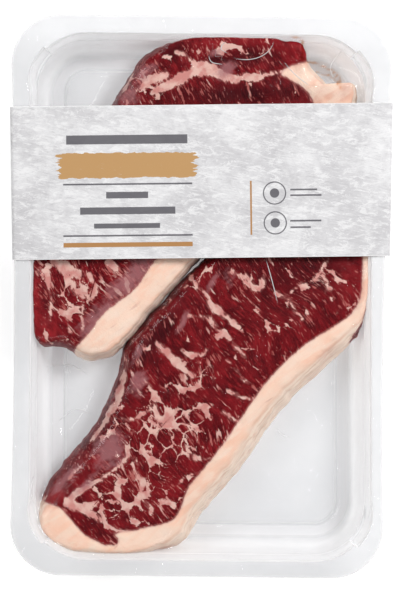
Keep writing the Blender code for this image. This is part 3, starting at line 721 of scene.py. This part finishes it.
def makeMeatMaterial():
    look = steakLook
    made, tree, shader = newMaterial("rawBeef")
    threads = makeFleckGroup()
    straight = objectMillimetres(tree, -steakShape["grain"])
    sway = times(tree, ripples(tree, straight, 45.0, 1.0), 26.0)
    place = shifted(tree, straight, combined(tree, 0.0, sway, 0.0))
    fibres = scaled(tree, place, 0.38)
    coarse, fine = ripples(tree, fibres, 2.6), ripples(tree, fibres, 0.9)
    ragged = plus(tree, times(tree, coarse, 3.6), times(tree, fine, 2.4))
    webbing, belowTop, redden = (readField(tree, name) for name in ("webbing", "belowTop", "redden"))

    # lean: mottled dark red with fine fibres and a brighter rim where the air reached it
    broad = fade(tree, clouds(tree, scaled(tree, place, 0.6), 6.0, 4.0, 0.6), 0.36, 0.64)
    small = fade(tree, clouds(tree, scaled(tree, place, 0.2), 0.9, 4.0, 0.65), 0.46, 0.72)
    mottled = fade(tree, clouds(tree, scaled(tree, place, 0.5), 3.0, 3.0, 0.6), 0.38, 0.6, 0.15, 0.95)
    bright = strongest(tree, times(tree, small, 0.7), times(tree, redden, mottled))
    lean = mixed(tree, broad, look["leanDark"], look["lean"])
    lean = mixed(tree, bright, lean, look["leanBright"])
    # darker patches from the dark field; along the crevice between the steaks this is painted shade
    lean = mixed(tree, times(tree, readField(tree, "dark"), 0.75), lean, look["leanDeepAndShade"])

    # marbling: a net of fat round the bundles, long threads and short flecks
    net = useGroup(tree, threads, {"Place": place, "Length": 6.6, "Width": 5.0, "Amount": webbing})["Mask"]
    crowd = fade(tree, clouds(tree, place, 16.0), 0.38, 0.62, 0.66, 0.6)
    crowd = minus(tree, crowd, times(tree, webbing, 0.03))
    longThreads = clouds(tree, scaled(tree, place, 0.22), 1.7, 3.0)
    dashes = fade(tree, minus(tree, longThreads, crowd), 0.0, 0.07)
    shortThreads = clouds(tree, scaled(tree, shifted(tree, place, (31.0, 17.0, 5.0)), 0.2), 0.85, 3.0)
    flecks = fade(tree, minus(tree, shortThreads, crowd), -0.01, 0.04)
    marble = strongest(tree, net, times(tree, dashes, 0.85))
    patchy = fade(tree, clouds(tree, place, 5.0, 3.0), 0.36, 0.6)
    marbleTone = mixed(tree, patchy, look["marble"], look["seamFat"])
    paler = fade(tree, clouds(tree, shifted(tree, place, (9.0, 40.0, 0.0)), 7.0), 0.45, 0.6)
    flesh = mixed(tree, times(tree, flecks, 0.7), lean, look["fleck"])
    flesh = mixed(tree, times(tree, dashes, 0.9), flesh, mixed(tree, paler, look["fleck"], marbleTone))
    flesh = mixed(tree, net, flesh, marbleTone)

    # listed seams
    swell = times(tree, minus(tree, clouds(tree, place, 7.0), 0.46), 5.0)
    seamEdge = plus(tree, plus(tree, readField(tree, "seamDistance"), times(tree, ragged, 0.8)), swell)
    flesh = mixed(tree, fade(tree, seamEdge, 0.9, 0.0, 0.0, 0.3), flesh, look["marble"])
    flesh = mixed(tree, fade(tree, seamEdge, 0.15, -0.15), flesh, marbleTone)

    # painted sheen: grey-lilac patches in the meat's colour that stand in for the film's soft reflections
    uneven = ripples(tree, scaled(tree, place, 1.0, 0.5), 3.5, 4.0, 0.6)
    dull = plus(tree, readField(tree, "paintedSheen"), times(tree, uneven, 1.5))
    dull = plus(tree, dull, times(tree, ragged, 0.12))
    flesh = mixed(tree, fade(tree, dull, 0.25, 0.95, 0.0, 0.7), flesh, look["paintedSheen"])

    # fat: peach on the cut face, cream down its side, with painted shade lines for its grooves and shoulder
    split = put(tree, "ShaderNodeSeparateXYZ", {0: place}).outputs
    low = fade(tree, belowTop, 0.9, 3.2)
    soft = fade(tree, clouds(tree, scaled(tree, place, 1.0, 0.4), 7.0, 3.0), 0.35, 0.65)
    fat = mixed(tree, strongest(tree, low, times(tree, soft, 0.55)), look["fatPeach"], look["fatCream"])
    # painted shade lines standing in for grooves along the fat's side
    layers = times(tree, belowTop, 0.62), times(tree, split[1], 0.05), times(tree, split[0], 0.05)
    lines = fade(tree, apart(tree, clouds(tree, combined(tree, *layers), 1.0, 3.0), 0.5), 0.07, 0.0)
    fat = mixed(tree, times(tree, times(tree, lines, low), 0.55), fat, look["fatGrooveShade"])
    # a painted shade line along the shoulder of the fat
    shoulder = fade(tree, apart(tree, belowTop, 1.7), 0.8, 0.1, 0.0, 0.35)
    fat = mixed(tree, times(tree, shoulder, soft), fat, look["fatGrooveShade"])
    fat = mixed(tree, times(tree, redden, 0.55), fat, look["streak"])
    veins = clouds(tree, scaled(tree, place, 1.0, 0.2), 2.4, 3.0)
    fat = mixed(tree, fade(tree, veins, 0.64, 0.76, 0.0, 0.35), fat, look["streak"])
    pale = clouds(tree, scaled(tree, place, 1.0, 0.22), 3.2, 3.0, 0.55)
    fat = mixed(tree, fade(tree, pale, 0.4, 0.66, 0.0, 0.6), fat, look["fatPale"])

    fatEdge = plus(tree, readField(tree, "fatDepth"), times(tree, ragged, 0.3))
    surface = mixed(tree, fade(tree, fatEdge, -0.2, 0.25), flesh, fat)
    rim = fade(tree, apart(tree, fatEdge), 1.0, 0.1, 0.0, 0.4)
    relief = plus(tree, times(tree, marble, 0.35), clouds(tree, place, 0.8, 3.0))
    connect(tree, shader, {
        "Base Color": mixed(tree, rim, surface, look["pinkLine"]),
        "Roughness": patchyRoughness(tree, place, 2.2, 0.3, 0.46),
        "Specular IOR Level": 0.06,
        "Subsurface Weight": 0.05,
        "Subsurface Radius": (0.002, 0.0008, 0.0005),
        "Subsurface Scale": 1.0,
        "Normal": bumped(tree, relief, 0.5, 0.0005),
    })
    return made


# Skin film

filmLook = {
    "halfWidth": 86.7,
    "halfLength": 128.7,
    "cornerRadius": 23.2,
    "columns": 124,
    "rows": 184,
    "gap": 0.25,
    "pull": 0.12,  # how hard the vacuum draws it into hollows
    "rounds": 240,  # of relaxing it onto what lies under it
    "looseHills": 0.35,
    "smallHills": 0.06,
    # the film's tint, and the colour of its painted highlight lines along the folds
    "dull": colour(0.90, 0.91, 0.93),
    "bright": colour(0.96, 0.96, 0.97),
    "folds": [  # sharp creases, as lines of x and y, bumped and drawn as painted highlight lines
        [(30.5, 18), (33.5, 8), (36.5, -3.5)],
        [(14.5, 110.5), (20, 109.8), (26, 110.8), (31, 114), (33.5, 118.5)],
        [(11, 118), (8.5, 115), (12, 112.5)], [(3, 112), (4.5, 108.5), (10, 107.5)],
        [(38, 109), (43, 103.5), (50, 98)],
        [(66, 116), (60, 108), (62, 101)],
        [(-72, -34), (-60, -33), (-52, -38)],
        [(-66, -60), (-58, -54), (-50, -56)],
        [(-75, -98), (-77, -92), (-76, -84)],
        [(37, -62), (40, -65), (43, -66)],
    ],
    "juice": [  # tan arcs where it has run under the film
        [(45.5, 110), (54.7, 108.5), (63, 104), (65, 97)], [(53.3, 104.7), (60.8, 102.4), (64, 97)],
        [(46.5, 118), (47, 114), (46.5, 111)], [(41, 121), (47, 119)],
    ],
    "through": colour(0.975, 0.975, 0.98),  # what the film lets through
    "juiceTint": colour(0.80, 0.56, 0.42),
}


def filmGrid():
    # rows and columns squeezed into the rounded outline of the flange
    look = filmLook
    halfX, halfY, radius = look["halfWidth"], look["halfLength"], look["cornerRadius"]
    sides = (halfX, look["columns"]), (halfY, look["rows"])
    x, y = np.meshgrid(*(np.linspace(-half, half, steps + 1) for half, steps in sides))
    u = np.clip((np.abs(x) - halfX + radius) / radius, 0, 1)
    v = np.clip((np.abs(y) - halfY + radius) / radius, 0, 1)
    newX = np.sign(x) * (np.minimum(np.abs(x), halfX - radius) + radius * u * np.sqrt(1 - v * v / 2))
    newY = np.sign(y) * (np.minimum(np.abs(y), halfY - radius) + radius * v * np.sqrt(1 - u * u / 2))
    return placeRing(newX, newY, halfX, halfY)


def heightsUnder(x, y, pieces):
    graph = bpy.context.evaluated_depsgraph_get()
    found = np.full(x.shape, trayLook["underside"])
    down = Vector((0, 0, -1))
    for piece in pieces:
        tree = BVHTree.FromObject(piece, graph)
        for spot in np.ndindex(*x.shape):
            hit = tree.ray_cast(Vector((x[spot] * mm, y[spot] * mm, 0.1)), down)[0]
            if hit is not None:
                found[spot] = max(found[spot], hit.z / mm)
    return found


def makeFilmMaterial():
    look = filmLook
    made, tree, shader = newMaterial("clearSkinFilm")
    place = objectMillimetres(tree)
    creases = useGroup(tree, wrinkleGroup, {"Place": place, "Size": 7.0, "Amount": 0.5})["Height"]
    fold = fade(tree, apart(tree, readField(tree, "foldSide")), 0.26, 0.06)
    fold = times(tree, fold, readField(tree, "foldStrength"))
    normal = bumped(tree, plus(tree, creases, times(tree, fold, 1.4)), 0.6, 0.0003)
    connect(tree, shader, {
        "Base Color": mixed(tree, clouds(tree, place, 9.0), look["dull"], look["bright"]),
        # painted highlight lines: along a fold the film turns from a mirror into a white diffuse sheet
        "Metallic": fade(tree, fold, 0.0, 0.15, 1.0, 0.0),
        "Roughness": patchyRoughness(tree, place, 4.0, 0.06, 0.12),
        "Normal": normal,
    })
    facing = put(tree, "ShaderNodeLayerWeight", {"Blend": 0.5, "Normal": normal}).outputs["Facing"]
    sheen = times(tree, maths(tree, "POWER", facing, 7.0), 0.6)
    # the film is made solid along the folds to show the painted highlight lines
    share = plus(tree, plus(tree, sheen, 0.012), times(tree, fold, 0.75))
    wet = plus(tree, readField(tree, "juiceDistance"), clouds(tree, place, 2.0))
    through = mixed(tree, fade(tree, wet, 1.5, 0.6), look["through"], look["juiceTint"])
    clear = put(tree, "ShaderNodeBsdfTransparent", {"Color": through}).outputs[0]
    both = put(tree, "ShaderNodeMixShader", {0: share, 1: clear, 2: shader.outputs[0]}).outputs[0]
    tree.links.new(both, tree.nodes["Material Output"].inputs["Surface"])
    return made


def buildFilm(pieces):
    look = filmLook
    x, y = filmGrid()
    under = heightsUnder(x, y, pieces) + look["gap"]
    under = np.minimum(under, trayLook["rim"] + look["gap"])
    sheet = under.copy()
    for _ in range(look["rounds"]):
        padded = np.pad(sheet, 1, mode="edge")
        mean = (padded[:-2, 1:-1] + padded[2:, 1:-1] + padded[1:-1, :-2] + padded[1:-1, 2:]) / 4
        sheet = np.maximum(under, mean - look["pull"])
    points = np.column_stack([x.ravel(), y.ravel(), sheet.ravel()])
    loose = np.clip((sheet - under).ravel() / 2, 0, 1)
    points[:, 2] += (look["looseHills"] * loose * np.maximum(bumps(points, 5, 2, 1.3), 0)
                     + look["smallHills"] * bumps(points, 7, 2, 4.4))
    width = look["columns"] + 1
    faces = [
        (a, a + 1, a + width + 1, a + width)
        for row in range(look["rows"])
        for a in range(row * width, row * width + look["columns"])
    ]
    piece = makePiece("skin_film_sheet", points, faces, makeFilmMaterial(), 180)
    folds, wet = (
        [besideLine(points[:, :2], smoothCurve(line, 5)) for line in look[key]]
        for key in ("folds", "juice")
    )
    nearest = np.argmin([off for off, _, _ in folds], axis=0)
    addField(piece, "foldSide", np.choose(nearest, [side for _, side, _ in folds]))
    addField(piece, "foldStrength", np.choose(nearest, [strength for _, _, strength in folds]))
    addField(piece, "juiceDistance", np.min([off for off, _, _ in wet], axis=0))
    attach(piece, "root")
    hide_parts("skin_film")
    return piece


# Sleeve

sleeveLook = {
    "board": 0.5,
    "wornEdge": 0.12,
    "depth": 70.9,
    "middle": 53.0,
    "top": 29.55,
    "halfWidth": 88.05,
    "taper": 0.6,
    "shift": 0.35,  # to the right
    "lean": -0.35,  # how much further its far edge is, its near edge being as much the other way
    "backHalfWidth": 77.0,
    "skew": 0.022,
    "frontFold": 2.2,
    "backFold": 0.9,
    "stoneLight": colour(0.78, 0.775, 0.785),
    "stoneDark": colour(0.59, 0.58, 0.595),
    "stoneWorn": colour(0.88, 0.875, 0.88),
    "stoneScratch": colour(0.44, 0.43, 0.445),
    "ochrePatch": colour(0.52, 0.295, 0.115),
    # pale board at the cut edges, partly a painted highlight of the lit edge
    "paperEdgeAndHighlight": colour(0.90, 0.90, 0.90),
    "ink": colour(0.085, 0.08, 0.095),
    "ochre": colour(0.44, 0.215, 0.07),
    # plain print: middle, width and height from the middle of the front panel
    "inkBars": [
        (-33.9, 19.7, 56, 4.2), (-33.7, -0.9, 59.7, 0.8), (-33.8, -24.7, 59.7, 0.8), (-34.0, -6.0, 19.4, 3.0),
        (-33.8, -13.2, 44, 3.3), (-34.2, -20.2, 30.5, 2.3), (47.6, -4.3, 12.4, 0.8), (48.6, -6.9, 14.4, 0.8),
        (48.4, -18.7, 14.4, 0.8), (46.0, -21.7, 9.4, 0.8),
    ],
    "ochreBars": [(-33.8, -28.9, 59.7, 2.1), (23.2, -12.5, 0.8, 25)],
    "patch": (-33.9, 7.8, 63, 11.6),
    "rings": [(34.1, -5.8, 5.1), (34.3, -19.6, 5.1)],
}


def sleeveLoop(halfWidth, thickness, along):
    look = sleeveLook
    top, bottom = look["top"] - thickness, thickness
    front, back = halfWidth - thickness, look["backHalfWidth"] - thickness
    fold, low = look["frontFold"], look["backFold"]
    right = [(x, top) for x in np.linspace(0, front - fold * 1.6, 14)[1:]]
    for angle in np.linspace(78, 0, 9):
        turn = math.radians(angle)
        right.append((front - fold * (1 - math.cos(turn)), top - fold * (1 - math.sin(turn))))
    start, end = np.array(right[-1]), np.array((back, bottom + low))
    right += [tuple(start + (end - start) * t) for t in (0.25, 0.5, 0.75)]
    for angle in np.linspace(-10, -90, 6):
        turn = math.radians(angle)
        right.append((back - low * (1 - math.cos(turn)), bottom + low * (1 + math.sin(turn))))
    right += [(x, bottom) for x in np.linspace(back - low, 0, 8)[1:-1]]
    loop = np.array([(0, top)] + right + [(0, bottom)] + [(-x, z) for x, z in reversed(right)])
    x = loop[:, 0] + look["shift"] + look["lean"] * along / (look["depth"] / 2)
    y = look["middle"] + along + look["skew"] * loop[:, 0]
    return np.column_stack([x, y, loop[:, 1]])


def barMask(tree, x, y, bar, soft=0.06):
    # 1 inside a rectangle given by its middle, width and height
    middleX, middleY, width, height = bar
    offX = minus(tree, apart(tree, x, middleX), width / 2)
    offY = minus(tree, apart(tree, y, middleY), height / 2)
    return fade(tree, strongest(tree, offX, offY), soft, -soft)


def makeBoardMaterial():
    look = sleeveLook
    made, tree, shader = newMaterial("printedBoard")
    turn = -math.degrees(math.atan(look["skew"]))
    place = objectMillimetres(tree, turn, (0, look["middle"], 0))
    x, y, z = put(tree, "ShaderNodeSeparateXYZ", {0: place}).outputs

    # brushed plaster look: clouds, worn flakes and scratches across them
    broad = fade(tree, clouds(tree, place, 24.0, 7.0, 0.7, 0.3), 0.34, 0.66)
    stone = mixed(tree, broad, look["stoneDark"], look["stoneLight"])
    sockets = {"Vector": place, "Rotation": (0, 0, math.radians(28)), "Scale": (0.45, 1.0, 1.0)}
    slanted = put(tree, "ShaderNodeMapping", sockets).outputs[0]
    flakes = clouds(tree, slanted, 3.2, 9.0, 0.82, 0.5)
    scratch = clouds(tree, scaled(tree, slanted, 0.25), 0.6, 4.0, 0.7)
    for mask, low, high, most, tone in (
        (flakes, 0.52, 0.56, 0.65, "stoneWorn"), (flakes, 0.46, 0.4, 0.25, "stoneScratch"),
        (scratch, 0.57, 0.64, 0.6, "stoneWorn"), (scratch, 0.43, 0.35, 0.4, "stoneScratch"),
    ):
        stone = mixed(tree, fade(tree, mask, low, high, 0.0, most), stone, look[tone])

    # print, with slightly rough edges, on the front only
    front = fade(tree, z, 28.0, 28.4)
    inkEdge = times(tree, ripples(tree, place, 0.6), 0.12)
    inkX, inkY = plus(tree, x, inkEdge), plus(tree, y, inkEdge)
    ink, ochre = (
        strongest(tree, *(barMask(tree, inkX, inkY, bar) for bar in look[bars]))
        for bars in ("inkBars", "ochreBars")
    )
    for middleX, middleY, radius in look["rings"]:
        offX, offY = minus(tree, x, middleX), minus(tree, y, middleY)
        off = maths(tree, "SQRT", plus(tree, times(tree, offX, offX), times(tree, offY, offY)))
        ring = fade(tree, apart(tree, off, radius), 0.34, 0.22)
        ink = strongest(tree, ink, ring, fade(tree, off, 2.25, 2.1))
    strokes = times(tree, ripples(tree, scaled(tree, place, 0.12, 1.0, 0.0), 1.3, 4.0), 11.0)
    frayed = times(tree, ripples(tree, place, 3.5, 4.0), 2.2)
    patch = barMask(tree, plus(tree, x, strokes), plus(tree, y, frayed), look["patch"], 0.1)
    patch = times(tree, patch, fade(tree, scratch, 0.66, 0.72, 1.0, 0.6))
    stone = mixed(tree, times(tree, patch, front), stone, look["ochrePatch"])
    stone = mixed(tree, times(tree, ochre, front), stone, look["ochre"])
    stone = mixed(tree, times(tree, times(tree, ink, 0.92), front), stone, look["ink"])
    edge = look["depth"] / 2
    # the cut edges turn pale: the board's core, partly a painted highlight of the lit edge
    cut = fade(tree, apart(tree, y), edge - 0.35, edge - 0.2)
    connect(tree, shader, {
        "Base Color": mixed(tree, cut, stone, look["paperEdgeAndHighlight"]),
        "Roughness": patchyRoughness(tree, place, 4.0, 0.5, 0.62),
        "Normal": bumped(tree, clouds(tree, place, 0.35, 3.0), 0.12, 0.0002),
    })
    return made


def buildSleeve():
    look = sleeveLook
    loops = []
    half = look["depth"] / 2
    steps = [-half, -half + 0.15, -18, 0, 18, half - 0.15, half]
    worn = [0.0 if abs(shift) < half else look["wornEdge"] for shift in steps]
    outer = list(zip(steps, worn))
    inner = [(shift, look["board"] - inset) for shift, inset in reversed(outer)]
    for shift, thickness in outer + inner:
        width = look["halfWidth"] + look["taper"] * shift / half
        loops.append(sleeveLoop(width, thickness, shift))
    size = len(loops[0])
    faces = ringFaces(len(loops), size, False)
    last = size * (len(loops) - 1)
    faces += [(last + i, last + (i + 1) % size, (i + 1) % size, i) for i in range(size)]
    piece = makePiece("board_sleeve", np.vstack(loops), faces, makeBoardMaterial(), 30)
    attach(piece, "root")
    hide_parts("sleeve")
    return piece


# Floor, light and camera

stageLook = {
    "floor": colour(0.80, 0.80, 0.80),
    "floorLight": colour(0.83, 0.83, 0.83),
    "glow": 0.45,  # of the floor
    "world": 0.2,
    # place in metres, size in metres, watts
    "lamps": [
        ((0.70, 0.50, 0.98), 0.4, 11.2),
        ((-0.85, 0.35, 1.0), 0.6, 6.2),
        ((0.15, -1.0, 0.95), 0.6, 4.0),
    ],
    "height": 1.3,  # of the camera over the flange, in metres
    "frameHeight": 0.2748,  # what the photo's height shows at the flange
    "aim": (0.00125, -0.00046),
    "roll": 0.64,
}


def makeFloor():
    look = stageLook
    made, tree, shader = newMaterial("paleFloor")
    tone = mixed(tree, clouds(tree, objectMillimetres(tree), 60.0), look["floor"], look["floorLight"])
    connect(tree, shader, {
        "Base Color": tone,
        "Roughness": 0.7,
        "Emission Color": (1, 1, 1, 1),
        "Emission Strength": look["glow"],
    })
    half = 2500
    corners = [(-half, -half, -0.3), (half, -half, -0.3), (half, half, -0.3), (-half, half, -0.3)]
    floor = makePiece("floor", corners, [(0, 1, 2, 3)], made)


def makeLights():
    scene = bpy.context.scene
    world = bpy.data.worlds.new("studio")
    world.use_nodes = True
    sockets = {"Color": (1, 1, 1, 1), "Strength": stageLook["world"]}
    connect(world.node_tree, world.node_tree.nodes["Background"], sockets)
    scene.world = world
    for number, (spot, size, power) in enumerate(stageLook["lamps"]):
        lamp = bpy.data.lights.new(f"softbox{number}", "AREA")
        lamp.energy = power
        lamp.size = size
        holder = bpy.data.objects.new(f"softbox{number}", lamp)
        holder.location = spot
        holder.rotation_euler = (-Vector(spot)).to_track_quat("-Z", "Y").to_euler()
        scene.collection.objects.link(holder)
    scene.view_settings.view_transform = "Standard"


def makeCamera():
    look = stageLook
    lens = bpy.data.cameras.new("photoCamera")
    lens.sensor_width = 36
    lens.lens = 36 * look["height"] / look["frameHeight"]
    lens.clip_start = 0.05
    camera = bpy.data.objects.new("photoCamera", lens)
    camera.location = (look["aim"][0], look["aim"][1], look["height"] + trayLook["rim"] * mm)
    camera.rotation_euler = (0, 0, math.radians(look["roll"]))
    bpy.context.scene.collection.objects.link(camera)
    bpy.context.scene.camera = camera


tray = buildTray()
print("tray made")
meatMaterial = makeMeatMaterial()
steaks = [buildSteak(steak, meatMaterial) for steak in (upperSteak, lowerSteak)]
print("steaks made")
film = buildFilm([tray, *steaks])
print("film drawn down")
sleeve = buildSleeve()
print("sleeve made")
makeFloor()
makeLights()
makeCamera()
print("floor, lights and camera made")
